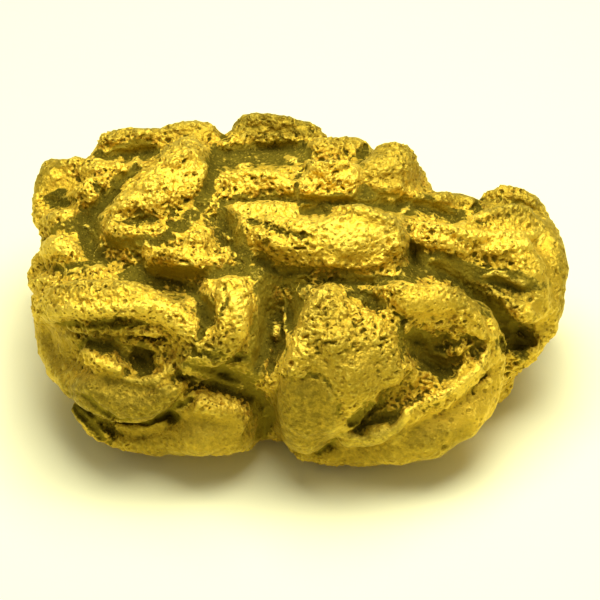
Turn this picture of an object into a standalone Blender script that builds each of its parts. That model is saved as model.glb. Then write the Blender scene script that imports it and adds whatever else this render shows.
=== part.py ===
"""A gold nugget, 16 mm wide, modelled as the one solid that it is.

Soft metal was rolled and hammered in a stream until its lumps, folds and ridges were pressed together, so
the nugget is built in that way. A blunt core carries lumps, and each lump is a string of balls. All of it is
melted into one skin, hollows are pressed in where the folds left gaps, and a flat is worn on the underside.

Run it with: blender --background --python part.py
"""

import math

import bmesh
import bpy
import numpy as np
from mathutils import Matrix, Vector, noise

MM = 0.001

# Driving dimensions, in millimetres.
MIDDLE_HEIGHT = 2.9  # height of the point that the lumps are measured from
CORE_EDGE = 3.0  # how squarely the core turns from top to front: two is round, more is squarer
CORE_ROWS = 96  # points round each slice of the core
BALL_STEP = 0.45  # spacing of the balls in a lump, as a share of their radius
SKIN_VOXEL = 0.12  # grain of the melted skin
WARP_REACH = 0.1  # how far the metal wanders from its plain round shapes
WARP_SCALE = 1.1  # distance over which it wanders
DENTS = [(1.2, 0.12), (0.5, 0.1)]  # the small dents all over: the distance between them and their depth
FACETS = 9300  # triangles of the finished skin
FOOT_LEVEL = -0.06  # the height down to which the ground has worn the lowest lumps

# The lumps on the back and the underside are guessed: they are scattered, and stay behind the outline that
# is seen from the front.
HIDDEN_LUMPS = 90
HIDDEN_SEED = 11
HIDDEN_SPAN = 7.2  # how far they reach to each side of the middle
HIDDEN_RADIUS = (0.45, 0.85)
HIDDEN_LENGTH = (0.6, 1.6)
HIDDEN_SUNK = 0.4  # how deep their middles lie under the skin of the core, as a share of their radius
HIDDEN_MARGIN = -0.45  # how far inside the outline they stay

# The core is a loaf. Each slice across it is given as: place along the width, then the middle and the half
# size from front to back, then the middle and the half size in height.
CORE = [
    (-7.7, 0.5, 1.2, 3.4, 0.8),
    (-7.2, 0.2, 3.1, 3.3, 1.8),
    (-6.0, -0.3, 4.3, 3.1, 2.7),
    (-3.0, -0.3, 4.7, 3.2, 3.1),
    (0.0, -0.3, 4.7, 3.2, 3.15),
    (3.0, -0.8, 4.4, 3.1, 3.1),
    (4.5, -1.1, 3.4, 2.9, 2.7),
    (6.0, -0.3, 2.7, 2.8, 2.4),
    (7.2, 0.1, 1.5, 3.0, 1.6),
    (7.6, 0.1, 0.7, 3.0, 0.6),
]

# The lumps of the front and the top are placed as they are seen by someone who looks down on the front at
# this angle. Each stop of a lump is: across to the right and up from the middle, the radius, and how far the
# middle of the ball stands out of the core.
LOOKING_DOWN = math.radians(42)
SIGHT_LINE = np.arange(8, -6, -0.05)  # places along a line of sight, from near to far
SIDE_FADE = 0.3  # hollows fade out where the skin turns its side to the eye by this much

LUMPS = {
    "head": [
        (-7.29, 3.24, 0.75, 0.06), (-7.02, 3.33, 0.66, 0.08), (-6.48, 3.54, 0.45, 0.12),
        (-5.94, 3.6, 0.39, 0.1), (-5.52, 3.6, 0.3, 0.06),
    ],
    "head_lip": [
        (-7.71, 2.7, 0.39, 0.1), (-7.71, 2.16, 0.39, 0.1), (-7.56, 1.92, 0.33, 0.13),
        (-7.2, 2.04, 0.33, 0.19), (-6.78, 2.19, 0.27, 0.17),
    ],
    "head_ledge": [(-6.6, 2.76, 0.33, 0.13), (-6.21, 2.94, 0.3, 0.18), (-5.82, 3.09, 0.24, 0.16)],
    "left_knob": [(-7.38, 1.2, 0.42, 0.29), (-7.08, 1.23, 0.42, 0.41), (-6.78, 1.14, 0.3, 0.36)],
    "left_side": [(-7.65, 0.84, 0.36, 0.02), (-7.74, 0.21, 0.36, 0.05), (-7.44, 0.06, 0.36, 0.05)],
    "back_left": [
        (-6.09, 4.08, 0.27, 0.17), (-5.76, 4.35, 0.36, 0.2), (-5.19, 4.56, 0.39, 0.22),
        (-4.5, 4.59, 0.39, 0.22), (-3.6, 4.68, 0.42, 0.17), (-2.91, 4.71, 0.42, 0.17),
        (-2.52, 4.56, 0.27, 0.05),
    ],
    "thumb": [
        (-5.37, 2.19, 0.42, 0.29), (-4.86, 2.37, 0.6, 0.36), (-4.35, 2.58, 0.75, 0.36),
        (-3.84, 3.06, 0.81, 0.32), (-3.51, 3.54, 0.75, 0.3), (-3.3, 3.99, 0.57, 0.2),
        (-3.18, 4.29, 0.39, 0.1),
    ],
    "thumb_lip": [(-5.64, 1.8, 0.24, 0.4), (-4.86, 1.71, 0.27, 0.47), (-4.14, 1.8, 0.24, 0.4)],
    "crown": [
        (-1.71, 4.89, 0.39, 0.1), (-1.05, 4.89, 0.42, 0.11), (-0.36, 4.86, 0.42, 0.11),
        (0.18, 4.71, 0.39, 0.1), (0.54, 4.47, 0.27, 0.05),
    ],
    "crown_link": [(-2.7, 4.44, 0.27, 0.11), (-1.92, 4.38, 0.27, 0.11)],
    "shoulder_back": [(0.66, 4.14, 0.45, 0.18), (1.2, 4.14, 0.48, 0.19), (1.74, 4.08, 0.45, 0.18)],
    "shoulder_front": [(0.39, 3.27, 0.39, 0.28), (0.9, 3.27, 0.54, 0.4), (1.5, 3.36, 0.51, 0.38)],
    "shoulder_right": [(2.34, 3.48, 0.63, 0.31), (2.73, 3.6, 0.78, 0.25), (2.94, 3.66, 0.69, 0.22)],
    "shoulder_end": [(3.15, 3.54, 0.45, 0), (3.6, 3.36, 0.3, 0.06)],
    "middle_ridge": [
        (-2.04, 3.18, 0.27, 0.23), (-1.44, 3.24, 0.33, 0.31), (-0.84, 3.24, 0.33, 0.31),
        (-0.24, 3, 0.27, 0.23), (0.24, 2.88, 0.27, 0.23),
    ],
    "tongue": [
        (-1.44, 1.8, 0.42, 0.23), (-0.75, 1.5, 0.63, 0.37), (0.15, 1.38, 0.72, 0.47),
        (1.05, 1.41, 0.87, 0.53), (1.74, 1.5, 0.96, 0.44), (2.28, 1.47, 0.9, 0.36),
    ],
    "tongue_top": [
        (-1.8, 2.4, 0.27, 0.35), (-1.14, 2.37, 0.36, 0.44), (-0.45, 2.22, 0.39, 0.46),
        (0, 1.92, 0.36, 0.44),
    ],
    "tongue_back": [(1.14, 2.16, 0.39, 0.46), (1.65, 2.1, 0.42, 0.47), (2.34, 1.92, 0.42, 0.41)],
    "low_knob": [(-3.06, 1.38, 0.39, 0.34), (-3.03, 1.35, 0.36, 0.32)],
    "ledge": [
        (-4.2, 0.84, 0.3, 0.3), (-3.72, 0.9, 0.36, 0.38), (-3.24, 0.93, 0.3, 0.36),
        (-2.64, 0.87, 0.24, 0.28), (-2.04, 0.9, 0.24, 0.28),
    ],
    "back_right": [(4.14, 2.67, 0.33, 0.04), (4.65, 2.67, 0.33, 0.04), (5.1, 2.52, 0.3, 0.03)],
    "ridge_left": [
        (3.6, 1.65, 0.42, 0.29), (4.2, 1.56, 0.48, 0.37), (4.8, 1.56, 0.51, 0.38),
        (5.34, 1.74, 0.48, 0.37),
    ],
    "ridge_crest": [
        (5.34, 1.74, 0.48, 0.37), (5.91, 1.86, 0.57, 0.41), (6.45, 1.89, 0.63, 0.37),
        (6.9, 1.74, 0.54, 0.22),
    ],
    "right_top": [(6.09, 2.73, 0.39, 0.04), (6.6, 2.58, 0.48, 0.01), (6.99, 2.04, 0.54, 0.04)],
    "right_lobe": [
        (6.99, 2.04, 0.54, 0.04), (7.26, 1.29, 0.66, 0.08), (7.32, 0.51, 0.66, 0.08),
        (7.26, -0.3, 0.66, 0.08), (7.05, -1.05, 0.66, 0.08), (6.66, -1.65, 0.6, 0.06),
        (6.36, -2.04, 0.48, -0.05),
    ],
    "right_face": [(6, 1.2, 0.66, 0.08), (6.6, 0.66, 0.72, 0.05), (6.72, -0.3, 0.72, 0.05)],
    "cheek_rim": [
        (-7.5, -0.45, 0.54, 0.22), (-6.9, -0.33, 0.6, 0.36), (-6.15, -0.27, 0.6, 0.42),
        (-5.4, -0.27, 0.57, 0.41), (-4.65, -0.33, 0.54, 0.4), (-4.05, -0.51, 0.48, 0.37),
        (-3.45, -0.87, 0.39, 0.34), (-3, -1.29, 0.36, 0.32), (-2.61, -1.62, 0.3, 0.3),
    ],
    "cheek_side": [
        (-7.5, -0.45, 0.54, 0.22), (-7.5, -1.2, 0.51, 0.2), (-7.32, -1.8, 0.51, 0.2),
        (-7.02, -2.34, 0.51, 0.2), (-6.6, -2.76, 0.51, 0.26),
    ],
    "cheek_lip": [
        (-6.6, -2.7, 0.54, 0.34), (-6, -3.09, 0.6, 0.42), (-5.4, -3.3, 0.63, 0.49),
        (-4.74, -3.36, 0.6, 0.48), (-4.14, -3.12, 0.54, 0.4), (-3.72, -2.76, 0.36, 0.32),
        (-3.54, -2.34, 0.24, 0.22),
    ],
    "cheek_inner": [(-6.24, -1.92, 0.24, 0.22), (-5.76, -2.16, 0.3, 0.3), (-5.4, -2.31, 0.24, 0.22)],
    "under_left": [(-6.3, -3.54, 0.42, -0.19), (-6, -4.02, 0.45, -0.18), (-5.58, -4.44, 0.33, -0.17)],
    "foot_left": [
        (-5.1, -4.53, 0.33, 0.07), (-4.35, -4.44, 0.51, 0.2), (-3.6, -4.23, 0.66, 0.32),
        (-2.85, -4.11, 0.78, 0.43), (-2.25, -4.17, 0.72, 0.35), (-1.65, -4.32, 0.48, 0.19),
    ],
    "foot_left_edge": [
        (-3.54, -3.42, 0.27, 0.35), (-2.85, -3.33, 0.3, 0.48), (-2.46, -3.51, 0.3, 0.48),
        (-1.8, -3.81, 0.3, 0.36),
    ],
    "pillar": [
        (-2.04, 0.03, 0.45, 0.3), (-1.89, -0.48, 0.54, 0.46), (-1.95, -1.05, 0.54, 0.46),
        (-2.13, -1.56, 0.48, 0.37), (-2.55, -1.92, 0.39, 0.34), (-3.15, -1.89, 0.33, 0.25),
    ],
    "pillar_knob": [(-2.64, 0.06, 0.27, 0.29), (-2.55, -0.18, 0.24, 0.28)],
    "wedge_left": [
        (0.93, -0.03, 0.27, 0.23), (0.72, -0.54, 0.39, 0.34), (0.42, -1.14, 0.51, 0.38),
        (0.12, -1.8, 0.57, 0.41), (-0.03, -2.22, 0.54, 0.4),
    ],
    "wedge_body": [
        (1.11, -0.84, 0.48, 0.19), (1.14, -1.65, 0.96, 0.14), (1.35, -2.46, 1.14, 0.1),
        (0.9, -3.24, 1.14, 0.1),
    ],
    "wedge_right": [
        (1.35, -0.24, 0.27, 0.17), (1.68, -0.9, 0.48, 0.19), (2.16, -1.5, 0.6, 0.18),
        (2.55, -2.25, 0.6, 0.12),
    ],
    "chin": [(0.09, -2.85, 0.78, 0.43), (0.15, -3.54, 0.87, 0.53), (0.18, -4.08, 0.78, 0.43)],
    "ring_top": [
        (2.55, -0.09, 0.33, 0.19), (3.15, -0.3, 0.45, 0.3), (3.75, -0.24, 0.45, 0.36),
        (4.35, -0.3, 0.42, 0.35), (4.86, -0.54, 0.39, 0.34), (5.34, -0.9, 0.42, 0.29),
        (5.67, -1.5, 0.42, 0.29), (5.7, -2.1, 0.45, 0.24), (5.61, -2.55, 0.48, 0.25),
    ],
    "foot_right": [
        (0.18, -4.53, 0.57, 0.23), (0.9, -4.71, 0.54, 0.22), (1.8, -4.68, 0.6, 0.24),
        (2.85, -4.44, 0.78, 0.37), (3.75, -4.11, 0.84, 0.4), (4.65, -3.63, 0.84, 0.4),
        (5.22, -3.15, 0.72, 0.29), (5.55, -2.55, 0.54, 0.22),
    ],
    "foot_right_edge": [
        (1.2, -4.32, 0.27, 0.53), (1.98, -4.5, 0.3, 0.6), (2.76, -4.17, 0.33, 0.73),
        (3.24, -3.72, 0.3, 0.72), (3.9, -3.36, 0.3, 0.66), (4.44, -3.06, 0.3, 0.66),
        (4.95, -2.61, 0.33, 0.61), (5.37, -2.1, 0.33, 0.49),
    ],
}

# Hollows are pressed in along the same line of sight: across, up, radius and depth at each stop.
HOLLOWS = {
    "head_hollow": [(-7.44, 2.64, 0.24, 0.24), (-7.14, 2.67, 0.3, 0.42), (-6.78, 2.7, 0.24, 0.36)],
    "head_gap": [
        (-6.09, 3.96, 0.18, 0.24), (-5.55, 3.96, 0.24, 0.42), (-4.95, 3.99, 0.24, 0.42),
        (-4.44, 4.17, 0.21, 0.36),
    ],
    "cheek_hollow": [
        (-6.42, -1.53, 0.3, 0.24), (-5.85, -1.56, 0.36, 0.36), (-5.16, -1.5, 0.54, 0.66),
        (-4.65, -1.8, 0.66, 0.84), (-4.2, -1.74, 0.54, 0.66),
    ],
    "ring_hollow": [(3.51, -1.65, 0.66, 0.9), (3.9, -1.8, 0.78, 1.08), (4.2, -2.16, 0.6, 0.9)],
    "crown_hollow": [
        (-2.52, 3.9, 0.42, 0.48), (-1.65, 3.96, 0.51, 0.72), (-0.75, 4.02, 0.51, 0.78),
        (0, 4.08, 0.36, 0.42),
    ],
    "left_floor": [
        (-6.42, 2.22, 0.36, 0.6), (-6.09, 1.29, 0.54, 0.84), (-5.34, 0.81, 0.48, 0.84),
        (-4.5, 0.42, 0.54, 0.84), (-3.45, 0.12, 0.54, 0.84), (-2.76, 0.24, 0.3, 0.54),
    ],
    "left_floor_top": [
        (-2.85, 2.25, 0.36, 0.42), (-2.34, 2.04, 0.36, 0.54), (-2.22, 1.5, 0.36, 0.6),
        (-1.8, 0.66, 0.36, 0.48),
    ],
    "thumb_gap": [
        (-4.56, 4.2, 0.24, 0.36), (-5.19, 3.48, 0.27, 0.6), (-5.82, 2.7, 0.27, 0.66),
        (-6.24, 2.22, 0.24, 0.42),
    ],
    "thumb_fold": [(-5.46, 2.07, 0.15, 0.3), (-4.8, 2.1, 0.15, 0.36), (-4.26, 2.16, 0.15, 0.3)],
    "crevice": [
        (-0.57, 0.12, 0.63, 1.02), (-0.63, -0.66, 0.66, 1.8), (-0.78, -1.5, 0.57, 1.8),
        (-0.99, -2.16, 0.42, 1.08),
    ],
    "right_cave": [
        (3.9, 0.6, 0.27, 0.6), (4.8, 0.21, 0.3, 1.02), (5.4, -0.3, 0.36, 1.26), (6.15, -1.2, 0.54, 1.32),
        (6.6, -1.59, 0.51, 1.26),
    ],
    "under_ridge": [
        (4.44, 0.6, 0.27, 0.36), (5.25, 0.36, 0.36, 0.54), (6, 0.15, 0.36, 0.48), (6.66, -0.03, 0.3, 0.36),
    ],
    "ridge_hollow": [(6, 1.47, 0.21, 0.24), (6.6, 1.41, 0.21, 0.24)],
    "tongue_gap": [
        (3.18, 1.86, 0.18, 0.42), (3.33, 1.26, 0.27, 0.72), (3.42, 0.72, 0.39, 0.96),
        (3.72, 0.18, 0.27, 0.48),
    ],
    "tongue_under": [
        (-1.14, 0.84, 0.27, 0.36), (0, 0.36, 0.27, 0.48), (1.35, 0.18, 0.24, 0.42),
        (2.55, 0.15, 0.24, 0.42),
    ],
    "tongue_line": [
        (-2.25, 2.7, 0.15, 0.3), (-0.3, 2.73, 0.15, 0.3), (1.35, 2.64, 0.15, 0.3),
        (2.55, 2.46, 0.18, 0.36),
    ],
    "tongue_dimple": [(0.15, 2.34, 0.27, 0.42), (0.66, 2.34, 0.27, 0.42)],
    "right_back_gap": [
        (2.34, 2.61, 0.27, 0.54), (3, 2.49, 0.39, 0.84), (3.75, 2.34, 0.39, 0.78),
        (4.65, 2.16, 0.27, 0.54),
    ],
    "under_cheek": [
        (-6.84, -3.24, 0.21, 0.18), (-6.42, -3.66, 0.3, 0.3), (-6, -4.05, 0.33, 0.36),
        (-5.61, -4.32, 0.24, 0.24),
    ],
    "low_gap": [
        (-3.84, -2.46, 0.3, 0.42), (-3, -2.52, 0.42, 0.9), (-2.25, -2.61, 0.45, 1.02),
        (-1.65, -2.91, 0.36, 0.78), (-1.14, -3.21, 0.36, 0.84), (-1.02, -3.9, 0.36, 1.08),
        (-1.08, -4.5, 0.27, 0.84),
    ],
    "cheek_seam": [
        (-6.84, -3.09, 0.21, 0.24), (-6.3, -3.24, 0.24, 0.36), (-5.82, -3.6, 0.24, 0.42),
        (-5.25, -3.96, 0.24, 0.48), (-4.5, -4.02, 0.24, 0.54), (-3.84, -3.72, 0.24, 0.54),
        (-3.24, -3.24, 0.24, 0.48),
    ],
    "shallow": [(1.38, -3.69, 0.3, 0.12), (2.04, -3.75, 0.33, 0.15), (2.76, -3.63, 0.27, 0.12)],
    "wedge_pocket": [(1.5, -0.21, 0.24, 0.36), (1.86, -0.3, 0.3, 0.6), (2.34, -0.45, 0.24, 0.36)],
    "chin_seam": [
        (1.17, -3.24, 0.15, 0.24), (1.32, -3.9, 0.18, 0.36), (1.11, -4.41, 0.18, 0.36),
        (0.57, -4.8, 0.15, 0.3),
    ],
    "cheek_under": [(-7.08, -1.11, 0.18, 0.24), (-6.24, -1.14, 0.21, 0.36), (-5.4, -1.08, 0.21, 0.3)],
    "slot": [(3.54, -3.63, 0.15, 0.3), (3.96, -3.57, 0.15, 0.3)],
    "crack": [(0.36, -1.5, 0.18, 0.15), (0.66, -1.86, 0.21, 0.21), (0.9, -2.34, 0.18, 0.15)],
}


def from_sight(seen):
    """Points of the nugget's own frame for points given across, up and toward the eye."""
    across, up, toward = np.moveaxis(np.asarray(seen, float), -1, 0)
    back = up * math.sin(LOOKING_DOWN) - toward * math.cos(LOOKING_DOWN)
    rise = up * math.cos(LOOKING_DOWN) + toward * math.sin(LOOKING_DOWN)
    return np.stack([across, back, MIDDLE_HEIGHT + rise], axis=-1)


def to_sight(points):
    """The places across, up and toward the eye of points of the nugget's own frame."""
    across, back, height = np.moveaxis(np.asarray(points, float), -1, 0)
    rise = height - MIDDLE_HEIGHT
    up = back * math.sin(LOOKING_DOWN) + rise * math.cos(LOOKING_DOWN)
    toward = rise * math.sin(LOOKING_DOWN) - back * math.cos(LOOKING_DOWN)
    return np.stack([across, up, toward], axis=-1)


def core_slice(across):
    """The core's middle and half size, from front to back and in height, at places along its width."""
    slices = np.array(CORE)
    return [np.interp(across, slices[:, 0], slices[:, column]) for column in range(1, 5)]


def squared(share):
    """Turns the sine or cosine of a circle into that of the core's squarer round."""
    return np.sign(share) * abs(share) ** (2 / CORE_EDGE)


def core_level(points):
    """How far out of the core points lie: below one is inside, one is on its skin."""
    across, back, height = np.moveaxis(points, -1, 0)
    depth_middle, depth, height_middle, half_height = core_slice(across)
    level = abs((back - depth_middle) / depth) ** CORE_EDGE
    level += abs((height - height_middle) / half_height) ** CORE_EDGE
    beyond = np.maximum(0, np.maximum(across - CORE[-1][0], CORE[0][0] - across))
    return level ** (1 / CORE_EDGE) + beyond * 2


def skin_toward(across, up):
    """How near to the eye the core's skin is on a line of sight, or where a line that misses is closest."""
    line = np.stack([np.full_like(SIGHT_LINE, across), np.full_like(SIGHT_LINE, up), SIGHT_LINE], axis=-1)
    level = core_level(from_sight(line))
    inside = level < 1
    return SIGHT_LINE[np.argmax(inside)] if inside.any() else SIGHT_LINE[np.argmin(level)]


def balls_along(stops):
    """The balls that fill a lump: an array of centres and radii."""
    balls = [stops[0]]
    for start, end in zip(stops, stops[1:]):
        step = BALL_STEP * min(start[3], end[3])
        count = max(1, math.ceil(np.linalg.norm(end[:3] - start[:3]) / step))
        balls += [start + (end - start) * index / count for index in range(1, count + 1)]
    return np.array(balls)


def seen_lumps():
    """The lumps of the front and the top, as stops of centre and radius."""
    lumps = []
    for stops in LUMPS.values():
        centres = from_sight([(a, u, skin_toward(a, u) + out) for a, u, radius, out in stops])
        radii = np.array([[radius] for a, u, radius, out in stops])
        lumps.append(np.hstack([centres, radii]))
    return lumps


def hidden_depth(place):
    """How far inside the core's outline a place is, as it is seen from the front."""
    across, up, toward = to_sight(place)
    reaches = np.arange(0, 3, 0.1)
    turns = np.linspace(0, 2 * math.pi, 12, endpoint=False)
    reach, turn, depth = np.meshgrid(reaches, turns, SIGHT_LINE[::10], indexing="ij")
    lines = np.stack([across + reach * np.cos(turn), up + reach * np.sin(turn), depth], axis=-1)
    missed = (core_level(from_sight(lines)).min(axis=2) > 1).any(axis=1)
    return reaches[np.argmax(missed)] if missed.any() else reaches[-1]


def on_core(across, turn):
    """The place on the core's skin at a turn round one of its slices."""
    depth_middle, depth, height_middle, half_height = core_slice(across)
    sideways, upward = squared(np.array([math.cos(turn), math.sin(turn)]))
    return np.array([across, depth_middle + depth * sideways, height_middle + half_height * upward])


def hidden_lumps():
    """Lumps for the back and the underside: short strings of balls, scattered over the core."""
    chance = np.random.default_rng(HIDDEN_SEED)
    eye = from_sight([0, 0, 1]) - from_sight([0, 0, 0])
    lumps = []
    while len(lumps) < HIDDEN_LUMPS:
        across = chance.uniform(-HIDDEN_SPAN, HIDDEN_SPAN)
        turn = chance.uniform(0, 2 * math.pi)
        outward = np.array([0, math.cos(turn), math.sin(turn)])
        if outward @ eye > 0:
            continue
        radius = chance.uniform(*HIDDEN_RADIUS)
        start = on_core(across, turn) - outward * radius * HIDDEN_SUNK
        slant = chance.uniform(-1, 1)
        along = np.array([chance.uniform(-1, 1), -outward[2] * slant, outward[1] * slant])
        end = start + along * chance.uniform(*HIDDEN_LENGTH)
        if min(hidden_depth(start), hidden_depth(end)) > radius + HIDDEN_MARGIN:
            lumps.append(np.array([[*start, radius], [*end, radius * chance.uniform(0.6, 1)]]))
    return lumps


def unit_ball():
    """The corners and the faces of a ball of radius one."""
    mesh = bmesh.new()
    bmesh.ops.create_icosphere(mesh, subdivisions=3, radius=1.0)
    corners = np.array([corner.co[:] for corner in mesh.verts])
    faces = np.array([[corner.index for corner in face.verts] for face in mesh.faces])
    mesh.free()
    return corners, faces


def core_skin():
    """The corners and the faces of the core, ring by ring along its width, with a cap at each end."""
    turns = np.arange(CORE_ROWS) * 2 * math.pi / CORE_ROWS
    sideways, upward = squared(np.cos(turns)), squared(np.sin(turns))
    places = np.linspace(CORE[0][0], CORE[-1][0], CORE_ROWS)
    rings = []
    for across in places:
        depth_middle, depth, height_middle, half_height = core_slice(across)
        backs = depth_middle + depth * sideways
        heights = height_middle + half_height * upward
        rings.append(np.stack([np.full(CORE_ROWS, across), backs, heights], axis=-1))
    corners = np.concatenate(rings)
    faces = []
    for ring in range(CORE_ROWS - 1):
        for row in range(CORE_ROWS):
            here, after = ring * CORE_ROWS + row, ring * CORE_ROWS + (row + 1) % CORE_ROWS
            faces.append((here, after, after + CORE_ROWS, here + CORE_ROWS))
    faces.append(tuple(range(CORE_ROWS))[::-1])
    faces.append(tuple(range(len(corners) - CORE_ROWS, len(corners))))
    return corners, faces


def wander(points):
    """Moves points a little, the same way each time, so that round shapes come out lumpy."""
    apart = ((0, 0, 0), (31, 0, 0), (0, 57, 0))
    drifts = [[noise.noise(Vector(place)) for place in points / WARP_SCALE + shift] for shift in apart]
    return points + WARP_REACH * np.stack(drifts, axis=-1)


def core_and_lumps():
    """One mesh that holds the core and every ball, overlapping and not yet melted."""
    balls = np.concatenate([balls_along(stops) for stops in seen_lumps() + hidden_lumps()])
    ball_corners, ball_faces = unit_ball()
    core_corners, core_faces = core_skin()
    corners = (ball_corners[None] * balls[:, None, 3:] + balls[:, None, :3]).reshape(-1, 3)
    faces = (ball_faces[None] + np.arange(len(balls))[:, None, None] * len(ball_corners)).reshape(-1, 3)
    core_faces = [tuple(index + len(corners) for index in face) for face in core_faces]
    corners = np.concatenate([corners, core_corners])
    data = bpy.data.meshes.new("lumps")
    data.from_pydata(wander(corners).tolist(), [], faces.tolist() + core_faces)
    return data


def changed(obj, kind, **settings):
    """The mesh that one of Blender's own modifiers makes of an object's mesh."""
    modifier = obj.modifiers.new(kind.title(), kind)
    for name, value in settings.items():
        setattr(modifier, name, value)
    bpy.context.view_layer.update()
    data = bpy.data.meshes.new_from_object(obj.evaluated_get(bpy.context.evaluated_depsgraph_get()))
    obj.modifiers.remove(modifier)
    return data


def corners_of(data):
    """The corners of a mesh, and the way its skin faces at each."""
    corners = np.empty(len(data.vertices) * 3)
    normals = np.empty(len(data.vertices) * 3)
    data.vertices.foreach_get("co", corners)
    data.vertices.foreach_get("normal", normals)
    return corners.reshape(-1, 3), normals.reshape(-1, 3)


def depth_of_hollow(stops, seen):
    """How far one hollow presses the skin in at places as they are seen."""
    deepest = np.zeros(len(seen))
    for (a0, u0, r0, d0), (a1, u1, r1, d1) in zip(stops, stops[1:]):
        start, along = np.array([a0, u0]), np.array([a1 - a0, u1 - u0])
        share = np.clip((seen[:, :2] - start) @ along / (along @ along), 0, 1)
        gap = np.linalg.norm(seen[:, :2] - start - along * share[:, None], axis=1)
        dip = 1 - (gap / (r0 + share * (r1 - r0))) ** 2
        deepest = np.maximum(deepest, (d0 + share * (d1 - d0)) * dip)
    return deepest


def press_hollows(data):
    """Presses the hollows into the side that faces the eye."""
    corners, normals = corners_of(data)
    eye = from_sight([0, 0, 1]) - from_sight([0, 0, 0])
    facing = np.clip(normals @ eye / SIDE_FADE, 0, 1)
    seen = to_sight(corners)
    depth = np.max([depth_of_hollow(stops, seen) for stops in HOLLOWS.values()], axis=0)
    corners -= eye * (depth * facing)[:, None]
    data.vertices.foreach_set("co", corners.ravel())
    data.update()


def dent(data):
    """Roughens the skin along its own normals, with dents that meet in sharp creases."""
    corners, normals = corners_of(data)
    for distance, depth in DENTS:
        rise = np.array([abs(noise.noise(Vector(corner) / distance)) for corner in corners])
        corners += normals * (rise - rise.mean())[:, None] * depth
    data.vertices.foreach_set("co", corners.ravel())
    data.update()


def wear_foot(data):
    """Cuts the lowest lumps off level, closes the cut, and stands the nugget centred on that flat."""
    mesh = bmesh.new()
    mesh.from_mesh(data)
    cut = bmesh.ops.bisect_plane(
        mesh,
        geom=mesh.verts[:] + mesh.edges[:] + mesh.faces[:],
        plane_co=(0, 0, FOOT_LEVEL),
        plane_no=(0, 0, 1),
        clear_inner=True,
    )
    rim = [piece for piece in cut["geom_cut"] if isinstance(piece, bmesh.types.BMEdge) and piece.is_boundary]
    bmesh.ops.triangle_fill(mesh, edges=rim, use_beauty=True, normal=(0, 0, -1))
    bmesh.ops.triangulate(mesh, faces=mesh.faces[:])
    bmesh.ops.recalc_face_normals(mesh, faces=mesh.faces[:])
    lows = [min(corner.co[axis] for corner in mesh.verts) for axis in range(3)]
    highs = [max(corner.co[axis] for corner in mesh.verts) for axis in range(3)]
    mesh.transform(Matrix.Translation((-(lows[0] + highs[0]) / 2, -(lows[1] + highs[1]) / 2, -FOOT_LEVEL)))
    mesh.transform(Matrix.Scale(MM, 4))
    mesh.to_mesh(data)
    mesh.free()


def gold():
    """Native gold: a warm yellow metal, dulled by fine wear."""
    material = bpy.data.materials.new("gold")
    material.use_nodes = True
    shader = material.node_tree.nodes["Principled BSDF"]
    shader.inputs["Base Color"].default_value = (0.85, 0.60, 0.13, 1.0)
    shader.inputs["Metallic"].default_value = 1.0
    shader.inputs["Roughness"].default_value = 0.38
    return material


def main():
    for old in list(bpy.data.objects):
        bpy.data.objects.remove(old)
    nugget = bpy.data.objects.new("nugget", core_and_lumps())
    bpy.context.collection.objects.link(nugget)
    nugget.data = changed(nugget, "REMESH", mode="VOXEL", voxel_size=SKIN_VOXEL)
    press_hollows(nugget.data)
    nugget.data = changed(nugget, "REMESH", mode="VOXEL", voxel_size=SKIN_VOXEL)
    dent(nugget.data)
    nugget.data = changed(nugget, "SMOOTH", factor=0.5, iterations=1)
    triangles = 2 * len(nugget.data.polygons)
    nugget.data = changed(nugget, "DECIMATE", ratio=FACETS / triangles)
    wear_foot(nugget.data)
    nugget.data.shade_smooth()
    nugget.data.name = "nugget"
    nugget.data.materials.clear()
    nugget.data.materials.append(gold())


main()
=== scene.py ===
# %% [markdown]
# This lesson dresses one gold nugget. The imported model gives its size, its lobes and its big pockets. The
# script copies that mesh, refines it, and then works the surface: crumbs of metal are welded on, folds and
# slots are pressed in, and small pits are punched. Last come the metal, the dirt in its recesses, a pale
# table and a soft light.

# %% The frame and the tools
import math

import bmesh
import bpy
import numpy as np
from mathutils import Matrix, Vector, noise
from mathutils.bvhtree import BVHTree
from mathutils.kdtree import KDTree


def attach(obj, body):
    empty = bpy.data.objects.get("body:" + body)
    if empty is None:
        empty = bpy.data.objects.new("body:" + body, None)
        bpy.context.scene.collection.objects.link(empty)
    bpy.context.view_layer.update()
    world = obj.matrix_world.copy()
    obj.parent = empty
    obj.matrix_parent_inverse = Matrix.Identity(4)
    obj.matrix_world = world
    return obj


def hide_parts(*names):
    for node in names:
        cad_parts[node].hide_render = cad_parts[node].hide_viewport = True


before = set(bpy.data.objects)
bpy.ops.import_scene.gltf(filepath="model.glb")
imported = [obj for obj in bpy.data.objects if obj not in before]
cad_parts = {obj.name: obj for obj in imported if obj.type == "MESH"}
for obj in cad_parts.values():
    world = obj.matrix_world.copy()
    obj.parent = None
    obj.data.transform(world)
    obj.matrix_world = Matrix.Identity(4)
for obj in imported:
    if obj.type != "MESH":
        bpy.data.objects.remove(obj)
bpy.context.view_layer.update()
MM = 0.001

# %% [markdown]
# The camera comes first, because every small feature is placed as it is seen. The photograph looks down on
# the nugget's long side at a steep angle through a long lens, so the view is almost flat. Places in that view
# are written as across and up in millimetres, from one point inside the nugget. A third number, toward the
# eye, is found by looking for the skin along the line of sight.

# %% The line of sight
LOOKING_DOWN = math.radians(42)
VIEW_MIDDLE = np.array([0.05, 0.74, 2.96])
EYE = np.array([0, -math.cos(LOOKING_DOWN), math.sin(LOOKING_DOWN)])
UP_THE_VIEW = np.array([0, math.sin(LOOKING_DOWN), math.cos(LOOKING_DOWN)])


def to_sight(points):
    """The places across, up and toward the eye, in millimetres, of points in millimetres."""
    moved = points - VIEW_MIDDLE
    return np.stack([moved[:, 0], moved @ UP_THE_VIEW, moved @ EYE], axis=-1)


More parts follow.
